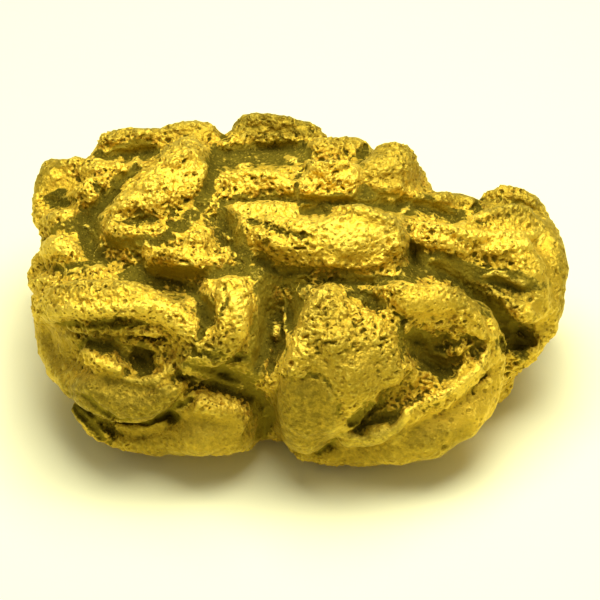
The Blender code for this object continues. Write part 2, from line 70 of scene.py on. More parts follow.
def from_sight(across, up, toward):
    """The point in millimetres for a place as it is seen."""
    return VIEW_MIDDLE + np.array([across, 0, 0]) + up * UP_THE_VIEW + toward * EYE


print("eye direction:", EYE.round(3))

# %% The camera
VIEW_WIDTH = 18.0  # what the picture takes in, across, in mm
VIEW_DROP = 0.3  # how far the picture's centre is below the middle of the view, in mm
CAMERA_DISTANCE = 200.0


def added(name, data):
    """A new object in the scene."""
    obj = bpy.data.objects.new(name, data)
    bpy.context.collection.objects.link(obj)
    return obj


camera_data = bpy.data.cameras.new("camera")
camera_data.lens = camera_data.sensor_width * CAMERA_DISTANCE / VIEW_WIDTH
camera_data.clip_start = 0.01
camera = added("camera", camera_data)
camera.location = Vector(from_sight(0, -VIEW_DROP, CAMERA_DISTANCE)) * MM
camera.rotation_euler = (math.pi / 2 - LOOKING_DOWN, 0, 0)
bpy.context.scene.camera = camera
print("lens in mm:", round(camera_data.lens))

# %% [markdown]
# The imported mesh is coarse: under ten thousand triangles. A copy is merged, melted again into small even
# faces and smoothed, so that the flat facets go and the lobes stay.

# %% Reading and writing a mesh as numbers


def corners_of(data):
    """The corners of a mesh in millimetres, and the way its skin faces at each."""
    corners = np.empty(len(data.vertices) * 3)
    normals = np.empty(len(data.vertices) * 3)
    data.vertices.foreach_get("co", corners)
    data.vertices.foreach_get("normal", normals)
    return corners.reshape(-1, 3) / MM, normals.reshape(-1, 3)


def move_corners(data, corners):
    """Puts the corners of a mesh where an array in millimetres says."""
    data.vertices.foreach_set("co", (corners * MM).ravel())
    data.update()


def made_by(modifier, obj):
    """The plain mesh that a modifier makes of an object. The modifier is taken off again."""
    bpy.context.view_layer.update()
    data = bpy.data.meshes.new_from_object(obj.evaluated_get(bpy.context.evaluated_depsgraph_get()))
    obj.modifiers.remove(modifier)
    return data


def change(obj, kind, **settings):
    """Gives an object the mesh that one modifier makes of it."""
    modifier = obj.modifiers.new(kind.title(), kind)
    for name, value in settings.items():
        setattr(modifier, name, value)
    obj.data = made_by(modifier, obj)


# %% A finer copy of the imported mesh
FIRST_VOXEL = 0.09  # in mm
SMOOTHING_ROUNDS = 4
merged = bmesh.new()
merged.from_mesh(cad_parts["nugget"].data)
bmesh.ops.remove_doubles(merged, verts=merged.verts, dist=1e-7)
nugget_data = bpy.data.meshes.new("gold_nugget")
merged.to_mesh(nugget_data)
merged.free()
nugget = added("gold_nugget", nugget_data)
change(nugget, "REMESH", mode="VOXEL", voxel_size=FIRST_VOXEL * MM)
change(nugget, "SMOOTH", factor=0.5, iterations=SMOOTHING_ROUNDS)
print("first skin:", len(nugget.data.polygons), "faces")

# %% [markdown]
# Small knobs and ridges come next. Each one is a string of balls that lies on the skin. The skin is found
# with a ray along the line of sight, so a knob sits on what carries it, seen from any side.

# %% Knobs and ridges
# Each stop of a knob: across, up, radius, and, where it isn't nought, how far its middle stands out of the
# skin. The numbers of knobs and routes count steps of three hundredths of a millimetre. Those of patches and
# slots count hundredths.
BALL_GAP = 0.4  # the way from one ball of a string to the next, as a share of the smaller radius
FAR_OUT = 20.0  # where a ray for the skin starts, in mm toward the eye


def shrunk(table, step=1):
    """A table whose numbers count steps of so many hundredths, with its numbers as they are."""
    if isinstance(table, dict):
        return {name: shrunk(stops, step) for name, stops in table.items()}
    return [tuple(number * step / 100 for number in stop) for stop in table]


KNOBS = shrunk({
    "head_bump": [(-238, 125, 7, -1), (-225, 127, 6, -1)],
    "head_crumbs": [(-182, 124, 5), (-174, 118, 6), (-167, 126, 4), (-160, 132, 5)],
    "head_edge": [(-212, 106, 5), (-203, 109, 5), (-192, 112, 5)],
    "plate_left": [(-196, 150, 8, -2), (-186, 151, 8, -2)],
    "plate_right": [(-162, 156, 7, -1), (-153, 156, 7, -1)],
    "back_bumps": [(-135, 160, 6, -2), (-122, 162, 7, -2), (-108, 164, 6, -2)],
    "thumb_bump_low": [(-172, 82, 7), (-164, 87, 7)],
    "thumb_bump_mid": [(-148, 100, 8), (-142, 107, 8)],
    "thumb_bump_top": [(-124, 125, 8), (-114, 132, 7)],
    "thumb_edge": [(-110, 95, 6), (-101, 108, 6), (-96, 122, 6)],
    "crown_bumps": [(-48, 170, 7, -2), (-30, 171, 7, -2), (-10, 168, 7, -2)],
    "crown_edge": [(-55, 155, 5), (-38, 152, 5), (-20, 153, 5), (-3, 151, 5)],
    "shoulder_edge": [(8, 125, 6), (18, 120, 7), (30, 122, 7), (44, 124, 6)],
    "shoulder_low": [(5, 100, 5), (20, 94, 6), (38, 94, 6), (52, 98, 5)],
    "shoulder_round": [(72, 105, 6), (85, 100, 6), (98, 102, 6)],
    "ridge_beads": [(-72, 109, 5), (-57, 113, 5), (-42, 114, 5), (-27, 112, 5)],
    "small_ridge": [(-80, 94, 4), (-70, 93, 4), (-60, 94, 4)],
    "ledge_beads": [(-140, 34, 4), (-130, 36, 5), (-119, 34, 4)],
    "low_knob_top": [(-104, 52, 5, 1), (-97, 49, 5, 1)],
    "thin_ridge_high": [(-184, 41, 4), (-172, 35, 4), (-160, 28, 4)],
    "thin_ridge_low": [(-180, 26, 3), (-170, 21, 3), (-162, 18, 3)],
    "floor_crumb_one": [(-150, 44, 5), (-144, 41, 4)],
    "floor_crumb_two": [(-124, 54, 4), (-118, 50, 4)],
    "floor_crumb_three": [(-75, 38, 5), (-68, 40, 4)],
    "gap_crumb_one": [(-203, 95, 4, 1), (-208, 89, 4, 1)],
    "gap_crumb_two": [(-213, 63, 4, 1), (-206, 58, 3, 1)],
    "gap_crumb_three": [(-196, 43, 4, 1), (-202, 37, 3, 1)],
    "gap_crumb_four": [(-164, 131, 4, 1), (-158, 124, 4, 1)],
    "gap_crumb_five": [(-76, 54, 3, 1), (-69, 48, 3, 1)],
    "gap_crumb_six": [(-60, 123, 4, 1), (-50, 125, 3)],
    "gap_crumb_seven": [(-150, 22, 3, 1), (-141, 17, 3, 1)],
    "gap_crumb_eight": [(-104, 26, 4, 1), (-96, 22, 3, 1)],
    "gap_crumb_nine": [(84, 93, 3, 1), (92, 88, 4, 1)],
    "gap_crumb_ten": [(110, 85, 3, 1), (102, 77, 4, 1)],
    "gap_crumb_eleven": [(-14, 132, 3, 1), (-4, 128, 4, 1)],
    "left_crumbs": [(-240, 28, 4), (-230, 22, 4), (-218, 20, 4)],
    "left_crumbs_low": [(-264, 6, 6), (-250, 9, 5), (-238, 10, 4)],
    "tongue_bumps": [(-38, 52, 6), (-25, 47, 7), (-10, 40, 6)],
    "tongue_crest": [(40, 78, 6), (56, 78, 7), (72, 72, 7), (88, 64, 7)],
    "tongue_lip": [(30, 28, 6), (45, 24, 6), (62, 24, 6), (78, 28, 6)],
    "right_top_bumps": [(188, 92, 8, -2), (203, 96, 9, -1), (218, 94, 9, -1), (230, 87, 8, -2)],
    "ridge_rim": [(172, 68, 5), (185, 73, 6), (200, 78, 6), (215, 80, 6), (228, 76, 5)],
    "ridge_face": [(178, 40, 9), (198, 39, 9, 1), (222, 43, 9, 1)],
    "ridge_middle": [(168, 52, 7, 3), (186, 52, 7, 3), (206, 52, 7, 3), (230, 54, 6, 1)],
    "ridge_beads_left": [(116, 52, 8), (130, 49, 9), (146, 45, 9), (162, 41, 9)],
    "ridge_top_left": [(124, 60, 6, 2), (144, 59, 6, 3), (160, 55, 6, 3)],
    "cave_crumbs": [(182, 14, 4), (195, 18, 5), (208, 12, 4), (220, 6, 5)],
    "cave_knob": [(210, -16, 8), (222, -22, 10), (232, -26, 7)],
    "cave_knob_low": [(200, -32, 5), (212, -36, 5)],
    "cave_fill": [(208, -64, 6, 4), (222, -66, 6, 5), (234, -60, 5, 4)],
    "cave_back": [(206, -48, 8, 3), (222, -50, 9, 4)],
    "crevice_knob_top": [(2, 3, 8, 4), (5, -2, 7, 4)],
    "crevice_knob_mid": [(-24, -40, 8, 4), (-19, -43, 7, 4)],
    "crevice_knob_low": [(-32, -62, 5, 1), (-38, -82, 6, 1)],
    "crevice_crumbs": [(-15, -18, 4), (-10, -55, 4), (-28, -94, 5)],
    "crevice_ledge": [(-19, -79, 4, 1), (-7, -80, 5, 2), (5, -80, 4, 1)],
    "pillar_beads": [(-74, 7, 5), (-62, 7, 5), (-54, -2, 5)],
    "pillar_side": [(-78, -22, 5), (-72, -32, 5), (-76, -46, 5)],
    "apex_left_bead": [(22, 0, 5, 1), (16, -14, 5, 1)],
    "pocket_knob": [(58, -10, 5), (64, -13, 5)],
    "pocket_beads": [(75, -1, 5), (86, 1, 5), (97, -1, 5)],
    "ring_ledge": [(132, -60, 4, 2), (144, -63, 5, 2), (156, -59, 5, 2), (168, -52, 5, 1)],
    "ring_strut": [(155, -28, 6), (165, -36, 7), (176, -42, 7), (188, -46, 6)],
    "strut_edge": [(184, -24, 5), (188, -32, 5, 1), (187, -44, 5, 1), (184, -54, 4, 1)],
    "ring_wall": [(162, -60, 5), (166, -72, 5), (158, -82, 5)],
    "cheek_shelf": [
        (-244, -21, 6, 1), (-220, -19, 8, 2), (-195, -19, 8, 2), (-170, -19, 8, 2), (-148, -17, 7, 1),
    ],
    "cheek_inner_top": [(-212, -60, 4), (-202, -66, 5), (-190, -72, 5), (-178, -79, 5)],
    "cheek_inner_low": [(-170, -88, 5, 1), (-155, -91, 6, 1), (-140, -88, 6, 1), (-126, -78, 6, 1)],
    "cheek_bank_top": [
        (-224, -35, 6, 5), (-205, -37, 7, 7), (-182, -37, 8, 6), (-158, -37, 8, 5), (-140, -40, 7, 5),
    ],
    "cheek_bank": [(-176, -47, 8, 6), (-154, -49, 8, 6), (-134, -56, 7, 6)],
    "cheek_hollow_crumbs": [(-172, -56, 5, 6), (-167, -59, 5, 6)],
    "cheek_hollow_bead": [(-140, -66, 5, 4), (-135, -70, 5, 4)],
    "foot_bank": [(48, -144, 11, 14), (62, -144, 11, 16), (76, -141, 11, 12), (88, -136, 8, -2)],
    "foot_floor": [(70, -125, 9, 6), (81, -121, 9, 4), (91, -114, 9)],
    "strut_fill": [(174, -96, 6, 2), (184, -90, 6, 3)],
    "low_gap_fill": [(-110, -74, 8, 3), (-86, -84, 9, 4), (-60, -92, 8, 4)],
    "low_gap_crumbs": [(-106, -84, 5, 4), (-94, -90, 5, 5)],
    "low_gap_crumbs_right": [(-68, -98, 5, 5), (-56, -94, 4, 5)],
    "foot_rim_top": [(160, -90, 5, 1), (174, -78, 5, 1), (184, -60, 4, 1)],
    "seam_crumb": [(-116, -103, 5), (-110, -107, 4)],
    "gap_crumb": [(-36, -118, 4, 1), (-33, -122, 4, 1)],
    "under_cheek_fill": [(-220, -118, 8, 6), (-208, -130, 9, 8), (-196, -144, 8, 6)],
    "seam_fill": [(-178, -134, 6, 5), (-158, -136, 7, 6), (-134, -130, 6, 5)],
    "foot_rim": [
        (38, -141, 4, -3), (50, -144, 4, 28), (65, -147, 4, 30), (80, -143, 4, 12), (95, -135, 5, 2),
        (104, -124, 5, 2),
    ],
    "foot_rim_high": [(105, -120, 5, 2), (120, -111, 5, 2), (135, -105, 5, 2), (150, -98, 5, 2)],
}, 3)


def skin_finder(data):
    """A search tree that finds a mesh's skin along a ray."""
    corners = corners_of(data)[0]
    return BVHTree.FromPolygons(corners.tolist(), [face.vertices[:] for face in data.polygons])


def on_skin(tree, across, up, out=0.0):
    """The point on the skin at a place as it is seen, moved out toward the eye."""
    hit = tree.ray_cast(Vector(from_sight(across, up, FAR_OUT)), Vector(-EYE))[0]
    return np.array(hit) + EYE * out


def ball_mesh():
    """The corners and faces of a ball of radius one."""
    mesh = bmesh.new()
    bmesh.ops.create_icosphere(mesh, subdivisions=2, radius=1.0)
    corners = np.array([corner.co[:] for corner in mesh.verts])
    faces = np.array([[corner.index for corner in face.verts] for face in mesh.faces])
    mesh.free()
    return corners, faces


def mesh_of_balls(name, centres, radii):
    """One mesh of many balls, in millimetres, that overlap and aren't melted yet."""
    ball_corners, ball_faces = ball_mesh()
    corners = (ball_corners[None] * radii[:, None, None] + centres[:, None]).reshape(-1, 3)
    faces = (ball_faces[None] + np.arange(len(centres))[:, None, None] * len(ball_corners)).reshape(-1, 3)
    data = bpy.data.meshes.new(name)
    data.from_pydata((corners * MM).tolist(), [], faces.tolist())
    return data


def knob_balls(tree):
    """The centres and radii of every ball in every knob."""
    centres, radii = [], []
    for stops in KNOBS.values():
        found = [(on_skin(tree, across, up, *out), radius) for across, up, radius, *out in stops]
        for (start, start_radius), (end, end_radius) in zip(found, found[1:]):
            count = 1 + int(np.linalg.norm(end - start) / (BALL_GAP * min(start_radius, end_radius)))
            for share in np.linspace(0, 1, count + 1):
                centres.append(start + (end - start) * share)
                radii.append(start_radius + (end_radius - start_radius) * share)
    return np.array(centres), np.array(radii)


tree = skin_finder(nugget.data)
knobs = mesh_of_balls("knobs", *knob_balls(tree))
print("knobs:", len(KNOBS), "strings of balls")

# %% [markdown]
# Where the metal is crumbly, thousands of tiny crumbs are welded to it. They repeat, so Geometry Nodes
# scatter them: points on the skin, closer together where the crumbly value is high, a ball on each point,
# then Realize Instances so that they become plain mesh. First, ovals and routes laid over the view say
# where the skin is smooth, soiled, tarnished and shaded, painted with shade at a rim, or rubbed and painted
# with highlights.

# %% Where the metal is smooth, soiled, tarnished and shaded, shaded at a rim, or rubbed and highlit
# Patches: across, up, half width, half height and strength. Routes: across, up and radius.
SMOOTH_PATCHES = shrunk([
    (-540, -306, 186, 72, 85), (-726, -180, 66, 108, 75), (-330, -426, 216, 78, 85), (-450, -30, 270, 36, 25),
    (15, -366, 102, 114, 90), (165, -255, 108, 90, 50), (60, -150, 66, 90, 10), (300, -450, 315, 78, 85),
    (204, -381, 78, 30, 80), (516, -330, 90, 102, 70), (555, -180, 42, 102, 50), (735, 0, 78, 255, 50),
    (684, 225, 78, 66, 50), (585, 195, 150, 60, 35), (-744, 330, 66, 72, 65), (-750, 120, 48, 36, 50),
    (-75, 510, 135, 36, 40), (-360, 486, 120, 27, 50), (255, 366, 108, 78, 50), (180, 150, 144, 102, 35),
    (450, 270, 84, 30, 50), (-180, -60, 48, 102, 30), (390, -48, 96, 45, 50),
])
SOILED_FLOORS = shrunk({
    "head_hollow": [(-250, 93, 9), (-234, 90, 9)],
    "below_head": [(-248, 60, 5), (-225, 64, 8), (-205, 68, 11)],
    "behind_head": [(-204, 134, 6), (-180, 140, 10), (-160, 142, 9), (-144, 138, 6)],
    "left_diagonal": [
        (-148, 140, 5), (-165, 125, 6), (-180, 109, 7), (-192, 90, 9), (-204, 74, 13), (-210, 50, 14),
        (-200, 28, 10),
    ],
    "below_thumb": [(-188, 50, 7), (-165, 46, 7), (-140, 48, 6), (-115, 62, 7), (-98, 82, 9)],
    "right_of_thumb": [(-88, 112, 8), (-92, 95, 8), (-100, 76, 8)],
    "below_crown": [(-88, 130, 14), (-55, 133, 14), (-20, 132, 14), (5, 136, 9)],
    "below_ridge": [(-100, 90, 3), (-60, 89, 3), (0, 91, 4), (50, 90, 5), (68, 94, 7)],
    "left_of_tongue": [(-74, 78, 12), (-64, 58, 14), (-54, 34, 9)],
    "middle_floor": [(-172, 15, 7), (-140, 14, 11), (-100, 18, 6), (-50, 20, 8), (-25, 14, 10), (0, 10, 8)],
    "below_left_knob": [(-240, 20, 5), (-222, 22, 7), (-208, 24, 5)],
    "tongue_hollow": [(2, 78, 6), (15, 80, 8), (28, 79, 6)],
    "back_gap": [
        (54, 96, 6), (68, 96, 9), (90, 85, 11), (110, 82, 13), (124, 88, 10), (140, 79, 6), (162, 71, 5),
    ],
    "tongue_end": [
        (108, 60, 3), (110, 47, 4), (115, 35, 9), (120, 22, 13), (100, 10, 9), (80, 9, 7), (40, 12, 5),
    ],
    "below_right_ridge": [(134, 30, 8), (160, 22, 10), (190, 14, 11), (220, 9, 11), (240, 4, 7)],
    "cave": [(130, 20, 5), (158, 9, 6), (170, -6, 6), (182, -18, 6), (208, -36, 8), (216, -52, 14)],
    "crevice": [(-38, 5, 10), (-32, -20, 12), (-38, -50, 12), (-45, -76, 12), (-52, -98, 8)],
    "crevice_right": [(0, 0, 10), (-6, -20, 9), (-14, -42, 9), (-17, -64, 7)],
    "apex_pocket": [(48, -2, 6), (62, -7, 9), (78, -13, 7)],
    "ring": [(116, -48, 14), (128, -66, 18), (138, -78, 12)],
    "cheek": [(-212, -52, 6), (-192, -54, 7), (-170, -58, 7), (-150, -60, 7), (-156, -73, 8)],
    "cheek_edge": [(-242, -33, 4), (-210, -35, 4), (-182, -35, 4), (-150, -34, 3)],
    "low_gap": [
        (-114, -72, 7), (-94, -78, 12), (-68, -84, 14), (-46, -104, 9), (-36, -125, 9), (-38, -148, 9),
    ],
    "pillar_gap": [(-108, 4, 6), (-95, -12, 9), (-92, -32, 8)],
    "under_cheek": [(-232, -112, 9), (-217, -127, 14), (-201, -143, 13)],
}, 3)
# Tarnish patches: partly real tarnish and partly painted shade, darkening lower lobes that face down and away
# from the light.
TARNISH_AND_SHADE_PATCHES = shrunk([
    (15, -366, 102, 120, 85), (300, -459, 300, 60, 60), (-540, -324, 192, 72, 100), (-330, -432, 222, 72, 60),
    (-732, -186, 78, 120, 45), (-75, 498, 138, 45, 90), (450, 273, 84, 27, 60), (270, 375, 90, 78, 50),
    (66, -84, 78, 96, 45), (-420, 480, 186, 30, 30), (150, -216, 156, 126, 45), (90, 420, 72, 36, 30),
    (600, 255, 78, 30, 20), (735, 30, 72, 240, 10), (570, -6, 126, 60, 70), (630, 258, 96, 45, 65),
    (-615, -132, 120, 48, 60), (-255, -210, 138, 66, 50), (60, -186, 48, 54, 40), (204, -381, 72, 24, 50),
])
# Rims: painted shade along the outline and the edges of lobes, where the skin turns away from the light.
SHADED_RIMS = shrunk({
    "tongue": [(30, 88, 6), (60, 85, 7), (78, 77, 7), (100, 67, 7), (107, 48, 6), (101, 26, 6)],
    "shoulder_right": [(70, 143, 6), (90, 146, 7), (110, 137, 7), (121, 118, 6)],
    "shoulder_left": [(12, 166, 6), (32, 152, 7), (62, 148, 6)],
    "crown": [(-64, 172, 6), (-38, 178, 7), (-10, 177, 7), (12, 168, 6)],
    "thumb": [(-140, 137, 5), (-120, 147, 7), (-100, 142, 7), (-91, 124, 6), (-94, 102, 5)],
    "back": [(-198, 150, 6), (-175, 161, 7), (-135, 164, 6), (-100, 169, 7), (-80, 160, 6)],
    "head": [(-268, 94, 6), (-264, 114, 8), (-250, 129, 9), (-220, 131, 7)],
    "right_top": [(182, 94, 5), (205, 104, 7), (226, 98, 6)],
    "right_side": [(230, 92, 6), (248, 66, 7), (261, 34, 7), (265, 2, 7), (258, -35, 6)],
    "cheek_top": [(-238, 0, 5), (-208, 6, 6), (-170, 6, 6), (-140, 0, 6), (-112, -15, 5)],
}, 3)
# Rubbed ridges: partly real wear and partly painted highlights, brightening ridges and crumbs whose tops face
# the light.
RUBBED_AND_HIGHLIT_RIDGES = shrunk({
    "foot_rim": [
        (35, -138, 6), (50, -144, 6), (65, -147, 6), (80, -143, 6), (95, -134, 7), (105, -121, 7),
        (130, -107, 7), (148, -99, 8), (170, -86, 9), (184, -62, 7),
    ],
    "cheek": [(-250, -19, 10), (-200, -19, 12), (-152, -18, 10), (-130, -23, 9), (-95, -52, 8)],
    "right_ridge": [(108, 54, 13), (162, 48, 14), (200, 50, 18), (232, 50, 16)],
    "shoulder": [(8, 106, 14), (58, 110, 15)],
    "thumb": [(-175, 78, 11), (-135, 100, 19), (-112, 118, 15)],
    "ridge": [(-74, 108, 9), (-16, 106, 9)],
    "left_knob": [(-250, 40, 10), (-224, 40, 10)],
    "pillar": [(-88, 4, 8), (-55, -10, 10), (-54, -48, 10)],
    "wedge": [(18, -6, 10), (0, -50, 12), (-10, -72, 8)],
    "seam_ridge": [(-120, -114, 5), (-95, -104, 6), (-58, -118, 6)],
    "cheek_lips": [(-207, -62, 6), (-182, -76, 6), (-150, -90, 6), (-124, -72, 6)],
    "tongue": [(-60, 78, 9), (-10, 76, 8), (30, 56, 14), (85, 50, 18)],
    "crevice_knobs": [(3, 2, 11), (4, -1, 11)],
    "crevice_knob": [(-24, -38, 12), (-20, -42, 12)],
}, 3)
SKIN_NOISE = 1.3  # size in mm of the patches in which the crumbling comes and goes
HIDDEN_PATCH = 2.4  # size in mm of the smooth patches on the far side
EDGE_NOISE = 0.4  # size in mm of the noise that makes the edges of patches ragged
EDGE_STRAY = 0.2  # how far in mm the edges stray
HALFWAY_BACK = -3  # how far toward the eye, in mm, the side in sight starts, and how soon it is in full sight
SIGHT_BLEND = 1.5


def noise_at(points, size, octaves=1):
    """Soft noise between minus one and one, with blobs of a given size in millimetres."""
    if octaves == 1:
        return np.array([noise.noise(Vector(point)) for point in points / size])
    return np.array([noise.fractal(Vector(point), 0.8, 2.1, octaves) for point in points / size])


def in_patches(points, patches):
    """How much each point is covered by oval patches that have soft edges, from nought to one."""
    seen = to_sight(points)
    cover = np.zeros(len(points))
    for across, up, half_width, half_height, strength in patches:
        reach = ((seen[:, 0] - across) / half_width) ** 2 + ((seen[:, 1] - up) / half_height) ** 2
        cover = np.maximum(cover, strength * np.clip(1.6 - reach, 0, 1))
    return cover


def stretches(seen, stops):
    """For each stretch of a route: how far along it places in the view lie, and how near they are to it."""
    for (a0, u0, r0, *_), (a1, u1, r1, *_) in zip(stops, stops[1:]):
        start, along = np.array([a0, u0]), np.array([a1 - a0, u1 - u0])
        share = np.clip((seen[:, :2] - start) @ along / (along @ along), 0, 1)
        gap = np.linalg.norm(seen[:, :2] - start - along * share[:, None], axis=1)
        yield share, 1 - (gap / (r0 + share * (r1 - r0))) ** 2


def along_routes(seen, routes):
    """How near places are to routes of discs: one on a route, nought at the edge of its discs."""
    nearest = np.zeros(len(seen))
    for stops in routes.values():
        for _, nearness in stretches(seen, stops):
            nearest = np.maximum(nearest, nearness)
    return nearest


def strayed(points):
    """Points moved a little by noise, so that patches laid over them get ragged edges."""
    noises = [noise_at(points + shift, EDGE_NOISE) for shift in (10, 60, 90)]
    return points + EDGE_STRAY * np.stack(noises, axis=-1)


def soil_on(points):
    """How thick the dirt lies on the floors between the lobes, from nought to one."""
    return np.clip(1.7 * along_routes(to_sight(strayed(points)), SOILED_FLOORS), 0, 1)


def in_sight(points):
    """One on the side that the photograph shows, nought on the far side."""
    return np.clip((to_sight(points)[:, 2] - HALFWAY_BACK) / SIGHT_BLEND, 0, 1)


def crumbling(points):
    """How crumbly the metal is at each point, from nought on a rubbed lobe to one."""
    shown = in_sight(points)
    smooth = in_patches(strayed(points), SMOOTH_PATCHES) * shown
    smooth += (1 - shown) * np.clip(0.4 + 1.5 * noise_at(points, HIDDEN_PATCH), 0, 0.9)
    rough = np.clip(1 - smooth + 0.25 * noise_at(points, SKIN_NOISE), 0, 1)
    # Dirt fills the grain of a soiled floor, but not all of it.
    return rough * (1 - 0.65 * soil_on(points) * shown)


def add_values(data, name, values):
    """Stores one number for each corner of a mesh, where materials and node trees can read it."""
    attribute = data.attributes.new(name, "FLOAT", "POINT")
    attribute.data.foreach_set("value", values)


skin_corners = corners_of(nugget.data)[0]
add_values(nugget.data, "crumbly", crumbling(skin_corners))
print("share of crumbly skin:", round(float(crumbling(skin_corners).mean()), 2))

# %% Node trees as plain sums
# The crumb scatter, the gold and the light of the room are node trees. These helpers keep them short.


class Socket:
    """A socket of a node tree that can be used in Python sums."""

    def __init__(self, tree, socket):
        self.tree = tree
        self.socket = socket

    def _math(self, operation, first, second):
        return make_node(self.tree, "ShaderNodeMath", {"operation": operation}, {0: first, 1: second})[0]

    def __add__(self, other):
        return self._math("ADD", self, other)

    def __radd__(self, other):
        return self._math("ADD", other, self)

    def __sub__(self, other):
        return self._math("SUBTRACT", self, other)

    def __rsub__(self, other):
        return self._math("SUBTRACT", other, self)

    def __mul__(self, other):
        return self._math("MULTIPLY", self, other)

    def __rmul__(self, other):
        return self._math("MULTIPLY", other, self)

    def clipped(self):
        return make_node(self.tree, "ShaderNodeClamp", {}, {"Value": self})["Result"]

    def stepped(self, low, high):
        """Nought below one value, one above the other, and a soft step between them."""
        settings = {"interpolation_type": "SMOOTHSTEP"}
        return make_node(self.tree, "ShaderNodeMapRange", settings, {0: self, 1: low, 2: high})[0]


def make_node(tree, kind, settings, values):
    """Adds a node, sets it, fills its sockets with values or links, and gives its outputs."""
    made = tree.nodes.new(kind)
    for name, value in settings.items():
        setattr(made, name, value)
    for name, value in values.items():
        if isinstance(value, Socket):
            tree.links.new(value.socket, made.inputs[name])
        else:
            made.inputs[name].default_value = value
    return Outputs(tree, made)


class Outputs:
    """The outputs of a node, by name or by number, as sockets for sums."""

    def __init__(self, tree, made):
        self.tree = tree
        self.made = made

    def __getitem__(self, name):
        return Socket(self.tree, self.made.outputs[name])

# %% The crumb scatter, as a node tree
CRUMBS_PER_MM2 = 9.0
CRUMB_RADIUS = 0.05  # in mm
CRUMB_SEED = 5
CRUMB_INPUTS = {
    "Geometry": "Geometry", "Crumbs per square metre": "Float", "Crumb radius": "Float", "Seed": "Int",
}
LEAST_STRETCH, MOST_STRETCH = (0.5, 0.5, 0.5), (2.2, 1.8, 1.3)  # crumbs are drawn out at random
FACES_PER_BALL = 80


def crumb_tree():
    """The node tree that scatters crumbs on the skin it is given."""
    tree = bpy.data.node_groups.new("crumb_scatter", "GeometryNodeTree")
    for name, kind in CRUMB_INPUTS.items():
        tree.interface.new_socket(name, in_out="INPUT", socket_type="NodeSocket" + kind)
    tree.interface.new_socket("Geometry", in_out="OUTPUT", socket_type="NodeSocketGeometry")

    def made(kind, values, **settings):
        return make_node(tree, kind, settings, values)

    given = made("NodeGroupInput", {})
    crumbly = made("GeometryNodeInputNamedAttribute", {"Name": "crumbly"}, data_type="FLOAT")["Attribute"]
    steep = made("ShaderNodeMath", {0: crumbly, 1: 2.0}, operation="POWER")[0]
    density = steep * given["Crumbs per square metre"]
    skin = {"Mesh": given["Geometry"], "Density": density, "Seed": given["Seed"]}
    points = made("GeometryNodeDistributePointsOnFaces", skin)
    ball = made("GeometryNodeMeshIcoSphere", {"Subdivisions": 2, "Radius": given["Crumb radius"]})
    sizes = {"Min": LEAST_STRETCH, "Max": MOST_STRETCH, "Seed": given["Seed"]}
    size = made("FunctionNodeRandomValue", sizes, data_type="FLOAT_VECTOR")["Value"]
    place = {"Points": points["Points"], "Rotation": points["Rotation"]}
    placed = made("GeometryNodeInstanceOnPoints", {**place, "Instance": ball["Mesh"], "Scale": size})
    real = made("GeometryNodeRealizeInstances", {"Geometry": placed["Instances"]})
    # An empty material will do: the crumbs are melted into the skin before it gets its own.
    finish = {"Geometry": real["Geometry"], "Material": bpy.data.materials.new("crumb_gold")}
    made("NodeGroupOutput", {"Geometry": made("GeometryNodeSetMaterial", finish)["Geometry"]})
    return tree


def scattered(obj, tree, values):
    """The plain mesh that a node tree makes of an object, with the tree's inputs set by name."""
    modifier = obj.modifiers.new("Scatter", "NODES")
    modifier.node_group = tree
    sockets = {item.name: item.identifier for item in tree.interface.items_tree if item.in_out == "INPUT"}
    for name, value in values.items():
        modifier[sockets[name]] = value
    return made_by(modifier, obj)


crumb_inputs = {
    "Crumbs per square metre": CRUMBS_PER_MM2 / MM**2,
    "Crumb radius": CRUMB_RADIUS * MM,
    "Seed": CRUMB_SEED,
}
crumbs = scattered(nugget, crumb_tree(), crumb_inputs)
print("crumbs:", len(crumbs.polygons) // FACES_PER_BALL)

# %% [markdown]
# Knobs and crumbs are joined to the skin and everything is melted into one closed surface. Then the folds,
# slots and cracks are pressed in along the line of sight, each along its own short route.

# %% One skin again
FINE_VOXEL = 0.052  # in mm


def joined(name, meshes):
    """One mesh with the corners and faces of several."""
    together = bmesh.new()
    for data in meshes:
        together.from_mesh(data)
    data = bpy.data.meshes.new(name)
    together.to_mesh(data)
    together.free()
    return data


nugget.data = joined("gold_nugget", [nugget.data, knobs, crumbs])
change(nugget, "REMESH", mode="VOXEL", voxel_size=FINE_VOXEL * MM)
print("fine skin:", len(nugget.data.polygons), "faces")

